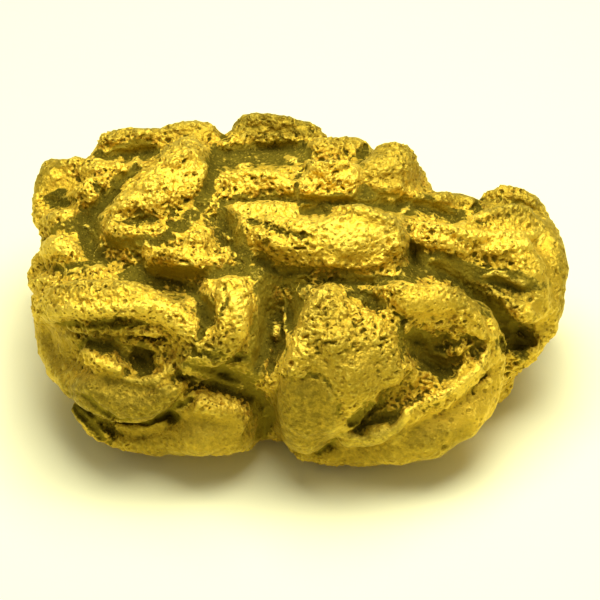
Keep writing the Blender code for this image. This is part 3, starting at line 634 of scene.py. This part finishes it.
# %% Folds, slots and cracks
# Each stop of a slot: across, up, radius and depth.
SLOTS = shrunk({
    "thumb_fold": [(-546, 198, 9, 11), (-495, 201, 12, 18), (-426, 210, 9, 14)],
    "thumb_hole": [(-381, 237, 9, 16), (-378, 219, 9, 16)],
    "thumb_gap": [(-450, 426, 13, 9), (-516, 342, 13, 15), (-576, 261, 13, 15)],
    "head_pocket": [(-618, 312, 12, 18), (-588, 294, 12, 18)],
    "head_shadow": [(-774, 276, 13, 8), (-726, 258, 15, 14), (-672, 270, 13, 10)],
    "head_notch": [(-654, 420, 12, 14), (-630, 384, 13, 12)],
    "back_gap": [(-624, 384, 13, 9), (-546, 408, 15, 15), (-444, 420, 15, 15)],
    "crown_gap": [(-252, 414, 18, 12), (-150, 420, 20, 18), (-45, 429, 20, 18), (12, 432, 15, 12)],
    "crown_notch": [(-237, 474, 12, 18), (-216, 444, 13, 12)],
    "shoulder_gap": [(198, 432, 12, 18), (180, 390, 12, 14), (186, 336, 12, 14)],
    "shoulder_split": [(30, 420, 12, 14), (18, 366, 12, 18)],
    "ridge_line": [
        (-234, 261, 12, 14), (-120, 267, 12, 14), (-12, 270, 12, 18), (120, 261, 12, 18), (252, 252, 13, 12),
    ],
    "middle_line": [(0, 336, 12, 18), (-12, 282, 12, 18)],
    "tongue_dimple": [(12, 231, 15, 14), (48, 240, 18, 16), (78, 228, 13, 14)],
    "tongue_crease": [(-150, 204, 12, 14), (-90, 186, 12, 14), (-15, 162, 12, 14), (36, 150, 9, 9)],
    "tongue_under": [(-126, 84, 15, 14), (-45, 54, 15, 14), (30, 60, 13, 12)],
    "tongue_low": [(90, 30, 13, 10), (180, 21, 13, 12), (276, 30, 15, 15)],
    "tongue_end": [(324, 192, 6, 14), (327, 147, 9, 18), (339, 84, 18, 21)],
    "ridge_saddle": [(522, 234, 12, 9), (531, 204, 12, 7)],
    "back_right_gap": [(288, 258, 15, 12), (372, 246, 18, 15), (456, 216, 15, 14)],
    "back_right_split": [(528, 273, 12, 18), (534, 240, 12, 14)],
    "cave": [(396, 66, 13, 12), (474, 27, 15, 18), (528, -24, 15, 21), (600, -96, 18, 18)],
    "cave_floor": [(600, -126, 20, 18), (648, -168, 20, 21), (660, -198, 13, 15)],
    "left_floor": [(-636, 216, 13, 10), (-624, 150, 18, 14), (-594, 96, 15, 12)],
    "left_floor_mid": [(-504, 138, 13, 10), (-450, 54, 18, 14), (-366, 30, 18, 14)],
    "left_floor_right": [(-264, 204, 13, 10), (-228, 156, 15, 14), (-186, 96, 13, 12)],
    "left_notch": [(-798, 138, 12, 14), (-762, 156, 12, 14)],
    "left_shadow": [(-714, 66, 12, 16), (-660, 66, 13, 12)],
    "cheek_edge": [(-714, -102, 9, 9), (-648, -105, 9, 9)],
    "cheek_hole": [(-543, -78, 9, 22), (-525, -81, 9, 22)],
    "cheek_pocket": [(-630, -153, 13, 9), (-564, -159, 13, 10)],
    "cheek_deep": [(-480, -192, 18, 9), (-450, -225, 20, 14)],
    "cheek_tiny_hole": [(-516, -237, 9, 18), (-507, -243, 9, 18)],
    "cheek_seam": [
        (-702, -306, 9, 11), (-636, -306, 9, 14), (-588, -348, 9, 16), (-534, -384, 9, 18),
        (-450, -393, 9, 16), (-396, -372, 9, 16), (-354, -333, 9, 16), (-321, -318, 9, 14),
    ],
    "low_gap": [(-354, -246, 12, 11), (-270, -270, 12, 14), (-192, -300, 13, 12), (-144, -318, 13, 14)],
    "pillar_low_edge": [(-336, -180, 9, 14), (-264, -192, 12, 18), (-168, -198, 12, 18)],
    "chin_top": [(-48, -252, 9, 9), (12, -240, 9, 9), (72, -261, 9, 9), (105, -312, 9, 9), (117, -372, 9, 9)],
    "low_split": [(-114, -324, 13, 18), (-96, -384, 15, 21), (-114, -450, 13, 18)],
    "pillar_gap": [(-318, 6, 13, 18), (-285, -36, 20, 30), (-276, -90, 18, 27), (-294, -144, 12, 18)],
    "pillar_split": [(-222, 6, 9, 11), (-213, -30, 9, 14), (-228, -69, 9, 11)],
    "pillar_front": [(-180, -186, 12, 14), (-234, -216, 12, 18)],
    "crevice": [(-114, 18, 13, 12), (-102, -60, 15, 18), (-114, -150, 15, 18), (-132, -228, 15, 15)],
    "crevice_right": [(9, 12, 28, 54), (-9, -48, 26, 48), (-36, -120, 18, 30), (-48, -186, 13, 15)],
    "wedge_pocket": [(150, -18, 12, 20), (186, -12, 12, 20), (222, -30, 12, 16)],
    "chin_edge": [(120, -414, 9, 7), (90, -450, 9, 7), (48, -480, 9, 7)],
    "ring_deep": [(345, -144, 20, 18), (372, -198, 23, 21), (420, -234, 18, 18)],
    "ring_side": [(420, -132, 13, 12), (456, -156, 13, 12)],
    "wedge_shoulder": [(504, -18, 12, 36), (525, -33, 13, 45)],
    "wedge_side": [(600, -144, 13, 90), (600, -180, 12, 81)],
    "ring_crease": [(300, -84, 9, 14), (294, -150, 9, 16), (300, -216, 9, 14)],
    "ring_left": [(324, -141, 13, 33), (360, -153, 15, 36)],
    "ring_low": [(360, -204, 15, 36), (402, -231, 15, 36)],
    "slot_one": [(339, -354, 9, 9), (375, -345, 9, 11), (408, -336, 9, 9)],
    "foot_scoop": [(150, -387, 18, 42), (180, -363, 20, 48), (207, -339, 20, 51)],
    "foot_hollow": [(228, -378, 15, 8), (270, -360, 15, 8)],
    "under_cheek": [(-684, -336, 15, 10), (-645, -378, 18, 15), (-606, -423, 18, 16), (-573, -453, 13, 12)],
})


def depth_of_slot(stops, seen):
    """How far one slot is pressed in at places as they are seen."""
    deepest = np.zeros(len(seen))
    depths = [stop[3] for stop in stops]
    for (share, nearness), start, end in zip(stretches(seen, stops), depths, depths[1:]):
        deepest = np.maximum(deepest, (start + share * (end - start)) * nearness)
    return deepest


SLOT_NOISE = 0.35  # size in mm of the noise that bends the sides of a slot
SLOT_STRAY = 0.06  # how far in mm they are bent
FULLY_FACING = 0.3  # skin that faces the eye at least this much is pressed to the full depth

corners, normals = corners_of(nugget.data)
facing = np.clip(normals @ EYE / FULLY_FACING, 0, 1)
seen = to_sight(corners)
bends = [noise_at(corners, SLOT_NOISE), noise_at(corners + 50, SLOT_NOISE)]
seen[:, :2] += SLOT_STRAY * np.stack(bends, axis=-1)
depth = np.max([depth_of_slot(stops, seen) for stops in SLOTS.values()], axis=0)
corners -= EYE * (depth * facing)[:, None]
move_corners(nugget.data, corners)
change(nugget, "REMESH", mode="VOXEL", voxel_size=FINE_VOXEL * MM)
print("slots:", len(SLOTS))

# %% [markdown]
# The roughness of the metal has three sizes. Broad noise bends the surface, finer noise makes it grainy where
# it crumbles, and pits are punched everywhere, close together on crumbly metal and few on the rubbed lobes.

# %% Grain
BROAD_GRAIN = 0.55  # sizes of the grain in mm, then how high it stands on crumbly and on smooth metal
BROAD_HEIGHTS = (0.05, 0.035)
HACKLY_GRAIN = 0.22
HACKLY_HEIGHTS = (0.04, 0.010)
FINE_GRAIN = 0.12
FINE_HEIGHTS = (0.05, 0.006)
HOLE_GRAIN = 0.15  # ragged holes: their size in mm, how rare they are, and how fast they deepen
HOLE_SHARE = 0.22
HOLE_DEPTH = 0.5
BEND = 0.12  # how far in mm the grains are bent, and the size in mm of the noise that bends them
BEND_NOISE = 0.3
MEAN_GRAIN = 0.45  # the mean of the hackly grain, which is taken off so that the skin keeps its place


def hackly(points, size):
    """Round grains with sharp creases between them, from nought in a crease to about one."""
    return np.array([abs(noise.noise(Vector(point))) for point in points / size]) * 2


def between(heights, crumbly):
    """How high a grain stands where the metal is this crumbly."""
    high, low = heights
    return low + (high - low) * crumbly


corners, normals = corners_of(nugget.data)
crumbly = crumbling(corners)
bent = corners + BEND * np.stack([noise_at(corners + shift, BEND_NOISE) for shift in (0, 40, 80)], axis=-1)
height = noise_at(corners, BROAD_GRAIN) * between(BROAD_HEIGHTS, crumbly)
height += (hackly(bent, HACKLY_GRAIN) - MEAN_GRAIN) * between(HACKLY_HEIGHTS, crumbly)
height += (hackly(bent, FINE_GRAIN) - MEAN_GRAIN) * between(FINE_HEIGHTS, crumbly)
holes = np.clip(noise_at(bent * (1, 1, 1.3), HOLE_GRAIN) - HOLE_SHARE, 0, 0.25)
height -= holes * HOLE_DEPTH * (0.08 + 0.92 * crumbly**2)
corners += normals * height[:, None]
move_corners(nugget.data, corners)
print("grain from", round(float(height.min()), 3), "to", round(float(height.max()), 3), "mm")

# %% Pits
PITS_PER_MM2 = 6.0
PITS_ON_SMOOTH = 0.18  # the share of the pits that smooth metal keeps
LEAST_PIT, PIT_SPREAD, PIT_EXCESS = 0.045, 0.015, 0.07  # radii in mm: the least, the usual excess, the most
PIT_SEED = 23
chance = np.random.default_rng(PIT_SEED)


def scatter_pits(data, per_mm2):
    """Centres of pits, spread over a skin by area, with fewer on the smooth lobes."""
    corners = corners_of(data)[0]
    faces = np.array([face.vertices[:3] for face in data.polygons])
    areas = np.empty(len(data.polygons))
    data.polygons.foreach_get("area", areas)
    count = int(areas.sum() / MM**2 * per_mm2)
    chosen = chance.choice(len(faces), count, p=areas / areas.sum())
    centres = corners[faces[chosen]].mean(axis=1)
    keep = chance.random(count) < PITS_ON_SMOOTH + (1 - PITS_ON_SMOOTH) * crumbling(centres)
    return centres[keep]


def punch(data, centres, radii, depths):
    """Presses round pits into a skin against the way it faces."""
    corners, normals = corners_of(data)
    tree = KDTree(len(corners))
    for index, corner in enumerate(corners):
        tree.insert(corner, index)
    tree.balance()
    press = np.zeros(len(corners))
    for centre, radius, depth in zip(centres, radii, depths):
        for _, index, gap in tree.find_range(centre, radius):
            press[index] = max(press[index], depth * (1 - (gap / radius) ** 2))
    move_corners(data, corners - normals * press[:, None])


pit_centres = scatter_pits(nugget.data, PITS_PER_MM2)
pit_radii = LEAST_PIT + chance.exponential(PIT_SPREAD, len(pit_centres)).clip(0, PIT_EXCESS)
punch(nugget.data, pit_centres, pit_radii, pit_radii * chance.uniform(0.5, 1.0, len(pit_centres)))
print("pits:", len(pit_centres))

# %% The foot stays flat, and the skin is thinned to what the export takes
MOST_FACES = 196000
THIN_HIDDEN = 1.5  # how much sooner the skin that faces away from the eye is thinned
KEPT_FACING = 0.6  # skin that faces the eye at least this much is thinned last
FOOT_FLAT = 0.06  # below this height, in mm, the skin is the worn foot

corners = corners_of(nugget.data)[0]
corners[:, 2] = np.where(corners[:, 2] < FOOT_FLAT, 0.0, corners[:, 2])
move_corners(nugget.data, corners)
triangles = sum(len(face.vertices) - 2 for face in nugget.data.polygons)
hidden_side = nugget.vertex_groups.new(name="hidden_side")
hidden = np.clip(KEPT_FACING - corners_of(nugget.data)[1] @ EYE, 0, 1).round(1)
for weight in np.unique(hidden):
    hidden_side.add(np.flatnonzero(hidden == weight).tolist(), float(weight), "REPLACE")
kept = MOST_FACES / triangles
change(nugget, "DECIMATE", ratio=kept, vertex_group="hidden_side", vertex_group_factor=THIN_HIDDEN)
nugget.vertex_groups.clear()

# %% One closed skin
LEAST_PIECE = 100  # what has fewer faces is a speck


def grown_from(face, left):
    """A face and all that hang together with it, taken out of those that are left."""
    piece = [face]
    for known in piece:
        for other in {other for edge in known.edges for other in edge.link_faces} & left:
            left.remove(other)
            piece.append(other)
    return piece


def take_out_strays(skin):
    """Takes out faces that lie on each other and specks of a few faces, which thinning leaves behind."""
    twins = {}
    for face in skin.faces:
        twins.setdefault(frozenset(corner.index for corner in face.verts), []).append(face)
    doubled = [face for faces in twins.values() if len(faces) > 1 for face in faces]
    bmesh.ops.delete(skin, geom=doubled, context="FACES")
    left, specks = set(skin.faces), []
    while left:
        piece = grown_from(left.pop(), left)
        specks += piece if len(piece) < LEAST_PIECE else []
    bmesh.ops.delete(skin, geom=specks, context="FACES")
    print("strays taken out:", len(doubled), "+", len(specks))


skin = bmesh.new()
skin.from_mesh(nugget.data)
bmesh.ops.triangulate(skin, faces=skin.faces)
take_out_strays(skin)
print("open edges:", sum(not edge.is_manifold for edge in skin.edges))
skin.to_mesh(nugget.data)
skin.free()
nugget.data.name = "gold_nugget"
seen_share = float((corners_of(nugget.data)[1] @ EYE > 0).mean())
print("triangles:", triangles, "thinned to", len(nugget.data.polygons), "seen share", round(seen_share, 2))

# %% [markdown]
# Dirt stays where fingers and water don't reach. For every corner of the mesh, rays are sent out over the
# half-sphere above it, and the share that soon hits metal again says how deep in a recess the corner lies.
# More values are stored beside it: how much a corner stands out of its near surroundings, whether dirt can
# settle there because it is level, how crumbly and soiled it is, how much it is rubbed and painted with
# highlights, and how much it is tarnished and painted with shade. The material reads them all.

# %% Recesses
RAYS = 18
RAY_REACH = 1.5  # in mm
RAY_START = 0.03  # in mm above the skin

corners, normals = corners_of(nugget.data)
tree = skin_finder(nugget.data)
turns = np.arange(RAYS) * math.pi * (3 - math.sqrt(5))
lifts = np.sqrt((np.arange(RAYS) + 0.5) / RAYS)
local_rays = np.stack([np.cos(turns) * lifts, np.sin(turns) * lifts, np.sqrt(1 - lifts**2)], axis=-1)


def shut_in(corner, normal):
    """The share of the sky over a corner that near metal covers."""
    upward = Vector(normal)
    turn = upward.to_track_quat("Z", "Y").to_matrix()
    start = Vector(corner) + upward * RAY_START
    covered = 0.0
    for ray in local_rays:
        distance = tree.ray_cast(start, turn @ Vector(ray), RAY_REACH)[3]
        if distance is not None:
            covered += 1 - 0.5 * distance / RAY_REACH
    return covered / RAYS


recess = np.array([shut_in(corner, normal) for corner, normal in zip(corners, normals)])
print("recess, median and most:", np.round(np.percentile(recess, [50, 99]), 2))

# %% Crests, level floors and what lies on the skin
SETTLE_ROUNDS = 6  # dirt settles thick on level floors and thin on steep walls
STEEP, LEVEL = 0.25, 0.70
CREST_ROUNDS = 7
CREST_HEIGHT = 0.022  # in mm
DIRT_WIDER = 1.5  # the dirt of a slot is wider than the slot by this
DIRTY_DEPTH = 0.17  # the depth in mm at which a slot is full of dirt
# How strongly the painted shade darkens the rims.
RIM_SHADE_STRENGTH = 0.7


def neighbours_mean(data, values, rounds):
    """Values for each corner, averaged with its neighbours a few times."""
    ends = np.empty(len(data.edges) * 2, dtype=np.int64)
    data.edges.foreach_get("vertices", ends)
    first, second = ends.reshape(-1, 2).T
    count = len(data.vertices)
    degree = np.bincount(first, minlength=count) + np.bincount(second, minlength=count)
    for _ in range(rounds):
        columns = []
        for column in values.T:
            total = np.bincount(first, column[second], count) + np.bincount(second, column[first], count)
            columns.append(0.5 * column + 0.5 * total / degree)
        values = np.stack(columns, axis=-1)
    return values


def dirt_in(stops):
    """A slot as the band of dirt that lies in it: wider than the slot, and thicker where the slot is deep."""
    return [(a, u, radius * DIRT_WIDER, min(1.3, depth / DIRTY_DEPTH)) for a, u, radius, depth in stops]


flattened = neighbours_mean(nugget.data, corners, CREST_ROUNDS)
crest = np.clip(np.einsum("ij,ij->i", corners - flattened, normals) / CREST_HEIGHT, -1, 1)
recess = neighbours_mean(nugget.data, recess[:, None], 1)[:, 0]
upward = neighbours_mean(nugget.data, normals[:, 2:], SETTLE_ROUNDS)[:, 0]
add_values(nugget.data, "settled", np.clip((upward - STEEP) / (LEVEL - STEEP), 0, 1))
add_values(nugget.data, "recess", recess)
add_values(nugget.data, "crest", crest * 0.5 + 0.5)
add_values(nugget.data, "crumbly", crumbling(corners))
ragged = strayed(corners)
in_slots = np.max([depth_of_slot(dirt_in(stops), to_sight(ragged)) for stops in SLOTS.values()], axis=0)
soiled = np.maximum(soil_on(corners), in_slots.clip(0, 1))
add_values(nugget.data, "soiled", soiled * np.clip(normals @ EYE + 0.5, 0, 1))
# Painted shade along the rims is laid in with the tarnish.
shaded_rims = RIM_SHADE_STRENGTH * along_routes(to_sight(ragged), SHADED_RIMS).clip(0, 0.7)
# Rubbed ridges and crumbs get wear and painted highlights.
highlit_crumbs = {name: stops for name, stops in KNOBS.items() if "crumb" in name}
add_values(nugget.data, "rubbed_and_highlit", along_routes(to_sight(ragged), {**RUBBED_AND_HIGHLIT_RIDGES, **highlit_crumbs}))
tarnish_and_shade = np.maximum(in_patches(ragged, TARNISH_AND_SHADE_PATCHES), shaded_rims) * in_sight(corners)
add_values(nugget.data, "tarnish_and_shade", tarnish_and_shade.clip(0, 1))
nugget.data.shade_smooth()

# %% [markdown]
# The metal is native gold with a satin skin. Its colour is a strong warm yellow, because gold takes the blue
# out of what it mirrors. Crests that rubbed are brighter and carry painted glints, rims and tarnished lobes
# are darker with painted shade, and in the recesses lies an olive-brown film of dirt. The finest grain is too
# small for the mesh, so it is a bump.

# %% Gold


def mixed(tree, share, first, second):
    """A colour between two colours."""
    settings = {"data_type": "RGBA"}
    return make_node(tree, "ShaderNodeMix", settings, {0: share, 6: first, 7: second})[2]


BRIGHT_GOLD = (0.785, 0.56, 0.053, 1)
DEEP_GOLD = (0.605, 0.422, 0.031, 1)
# Worn gold for polished crests, and painted glints.
WORN_GOLD_AND_GLINT = (0.94, 0.72, 0.09, 1)
RUSTY_GOLD = (0.50, 0.27, 0.025, 1)
THICK_DIRT = (0.058, 0.047, 0.004, 1)
THIN_DIRT = (0.30, 0.23, 0.017, 1)
PIT_BROWN = (0.20, 0.12, 0.008, 1)
# Dull gold for tarnish and painted shade.
DULL_GOLD_AND_SHADE = (0.195, 0.143, 0.011, 1)
BROAD_TONES, FINE_TONES, FINEST_TONES = 1.4, 0.16, 0.06  # sizes in mm of the noises that mix the colours
RUST_PATCH = 0.3  # in mm
BIG_PIT, SMALL_PIT = 0.24, 0.13  # sizes in mm of the cells that hold painted pits
GRAIN_CELL = 0.12  # in mm
BUMP_DEPTH = 0.05  # in mm


def gold_material():
    """Native gold, pitted, with dirt in its recesses, painted shade on tarnished lobes and rims, and painted
    highlights on rubbed ridges and crests.
    """
    material = bpy.data.materials.new("native_gold")
    material.use_nodes = True
    tree = material.node_tree
    tree.nodes.clear()

    def stored(name):
        return make_node(tree, "ShaderNodeAttribute", {"attribute_name": name}, {})["Fac"]

    recess, crest, crumbly = stored("recess"), stored("crest"), stored("crumbly")
    soiled, settled, tarnish_and_shade, rubbed_and_highlit = map(stored, ("soiled", "settled", "tarnish_and_shade", "rubbed_and_highlit"))
    place = make_node(tree, "ShaderNodeTexCoord", {}, {})["Object"]

    def grain(size, detail):
        values = {"Vector": place, "Scale": 1 / (size * MM), "Detail": detail}
        return make_node(tree, "ShaderNodeTexNoise", {}, values)["Fac"]

    def pits(size, share):
        values = {"Vector": place, "Scale": 1 / (size * MM), "Randomness": 1.0}
        cell = make_node(tree, "ShaderNodeTexVoronoi", {}, values)
        wide = cell["Distance"] + (grain(size * 0.6, 1) - 0.5) * 0.35
        # Each cell has a random colour. Read as a number, it says whether the cell holds a pit.
        return (1 - wide.stepped(0.16, 0.42)) * cell["Color"].stepped(1 - share, 1.02 - share)

    broad, fine, finest = (grain(size, 3) for size in (BROAD_TONES, FINE_TONES, FINEST_TONES))
    big_pits, small_pits = pits(BIG_PIT, 0.4), pits(SMALL_PIT, 0.4)
    pitted = (big_pits + small_pits).clipped() * (0.35 + 0.65 * crumbly)
    # Dirt lies where the skin is low or soiled. Rubbing and crests keep it off, and a few gold specks show.
    low = recess + 0.55 * soiled - 0.3 * rubbed_and_highlit - (crest - 0.5) * 0.5 + (fine - 0.5) * 0.5
    specks = (finest * 0.5 + fine * 0.5).stepped(0.55, 0.61)
    dirt = low.stepped(0.31, 0.60) * (1 - 0.3 * specks)
    # Crests and rubbed ridges get worn gold: partly real polish, partly painted glints and highlights.
    worn_and_glint = (crest + rubbed_and_highlit * 0.7 + (fine - 0.5) * 0.6 - recess * 0.5).stepped(0.55, 1.0)
    rusty = (grain(RUST_PATCH, 3) + (recess - 0.2) * 0.4).stepped(0.55, 0.66) * crumbly
    # Tarnish and painted shade darken the colour on the patches and along the rims.
    dull_and_shade = (tarnish_and_shade * (0.9 + (fine - 0.5) * 2 + (finest - 0.5))).clipped()
    thick = settled + (broad - 0.5) * 0.9 + (fine - 0.5) * 0.9
    # Each finish is laid over the one before it: gold, rust, rubbed gold with painted glints, tarnish with
    # painted shade, pits and last the dirt.
    colour = mixed(tree, (broad * 1.6 - 0.3).clipped(), BRIGHT_GOLD, DEEP_GOLD)
    colour = mixed(tree, rusty * 0.6, colour, RUSTY_GOLD)
    colour = mixed(tree, worn_and_glint * 0.7, colour, WORN_GOLD_AND_GLINT)
    colour = mixed(tree, dull_and_shade * 0.8, colour, DULL_GOLD_AND_SHADE)
    colour = mixed(tree, pitted * 0.8, colour, PIT_BROWN)
    colour = mixed(tree, dirt * 0.95, colour, mixed(tree, thick.clipped(), THIN_DIRT, THICK_DIRT))
    roughness = 0.62 + 0.12 * fine + 0.1 * dirt - 0.05 * worn_and_glint
    cells = make_node(tree, "ShaderNodeTexVoronoi", {}, {"Vector": place, "Scale": 1 / (GRAIN_CELL * MM)})
    height = finest * 0.7 + fine * 0.5 - pitted - cells["Distance"] * crumbly
    relief = {"Strength": 0.9, "Distance": BUMP_DEPTH * MM, "Height": height}
    finish = {
        "Base Color": colour,
        "Roughness": roughness,
        "Metallic": 1 - 0.85 * dirt,
        "Specular IOR Level": 0.0,
        "Normal": make_node(tree, "ShaderNodeBump", {}, relief)["Normal"],
    }
    shader = make_node(tree, "ShaderNodeBsdfPrincipled", {}, finish)["BSDF"]
    make_node(tree, "ShaderNodeOutputMaterial", {}, {"Surface": shader})
    return material


nugget.data.materials.clear()
nugget.data.materials.append(gold_material())
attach(nugget, "root")
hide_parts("nugget")
print("material:", nugget.data.materials[0].name)

# %% [markdown]
# The nugget lies on a plain cream table, bright enough to be almost white. One wide soft light hangs straight
# over it, so the tops are bright and the shadow lies close and soft round the foot. The room adds a little
# light from above.

# %% Table
FLOOR_SIZE = 600.0  # in mm


def table_material():
    """A plain cream surface."""
    material = bpy.data.materials.new("cream_table")
    material.use_nodes = True
    shader = material.node_tree.nodes["Principled BSDF"]
    shader.inputs["Base Color"].default_value = (0.93, 0.92, 0.54, 1)
    shader.inputs["Roughness"].default_value = 0.8
    shader.inputs["Specular IOR Level"].default_value = 0.2
    return material


floor_data = bpy.data.meshes.new("table")
half = FLOOR_SIZE / 2 * MM
table_corners = [(-half, -half, 0), (half, -half, 0), (half, half, 0), (-half, half, 0)]
floor_data.from_pydata(table_corners, [], [(0, 1, 2, 3)])
floor_data.materials.append(table_material())
floor = added("table", floor_data)

# %% Light


def soft_light(name, place, size, watts, colour):
    """A square light that aims at the nugget, placed in millimetres."""
    data = bpy.data.lights.new(name, "AREA")
    data.size = size * MM
    data.energy = watts
    data.color = colour
    light = added(name, data)
    light.location = Vector(place) * MM
    light.rotation_euler = (Vector((0, 0, 3)) - Vector(place)).to_track_quat("-Z", "Y").to_euler()


soft_light("top_light", (4, 4, 62), 50, 0.066, (1.0, 0.99, 0.96))


def room(strength_low, strength_high):
    """The light of the room: bright above, dim from the horizon down."""
    world = bpy.data.worlds.new("room")
    world.use_nodes = True
    tree = world.node_tree
    tree.nodes.clear()
    direction = make_node(tree, "ShaderNodeTexCoord", {}, {})["Generated"]
    bright_way = Vector((-0.1, -0.1, 0.98)).normalized()
    settings = {"operation": "DOT_PRODUCT"}
    toward = make_node(tree, "ShaderNodeVectorMath", settings, {0: direction, 1: bright_way})["Value"]
    strength = strength_low + toward.stepped(0.0, 0.95) * (strength_high - strength_low)
    light = make_node(tree, "ShaderNodeBackground", {}, {"Color": (1.0, 0.98, 0.9, 1), "Strength": strength})
    make_node(tree, "ShaderNodeOutputWorld", {}, {"Surface": light["Background"]})
    return world


bpy.context.scene.world = room(0.13, 0.42)
bpy.context.scene.view_settings.view_transform = "Standard"
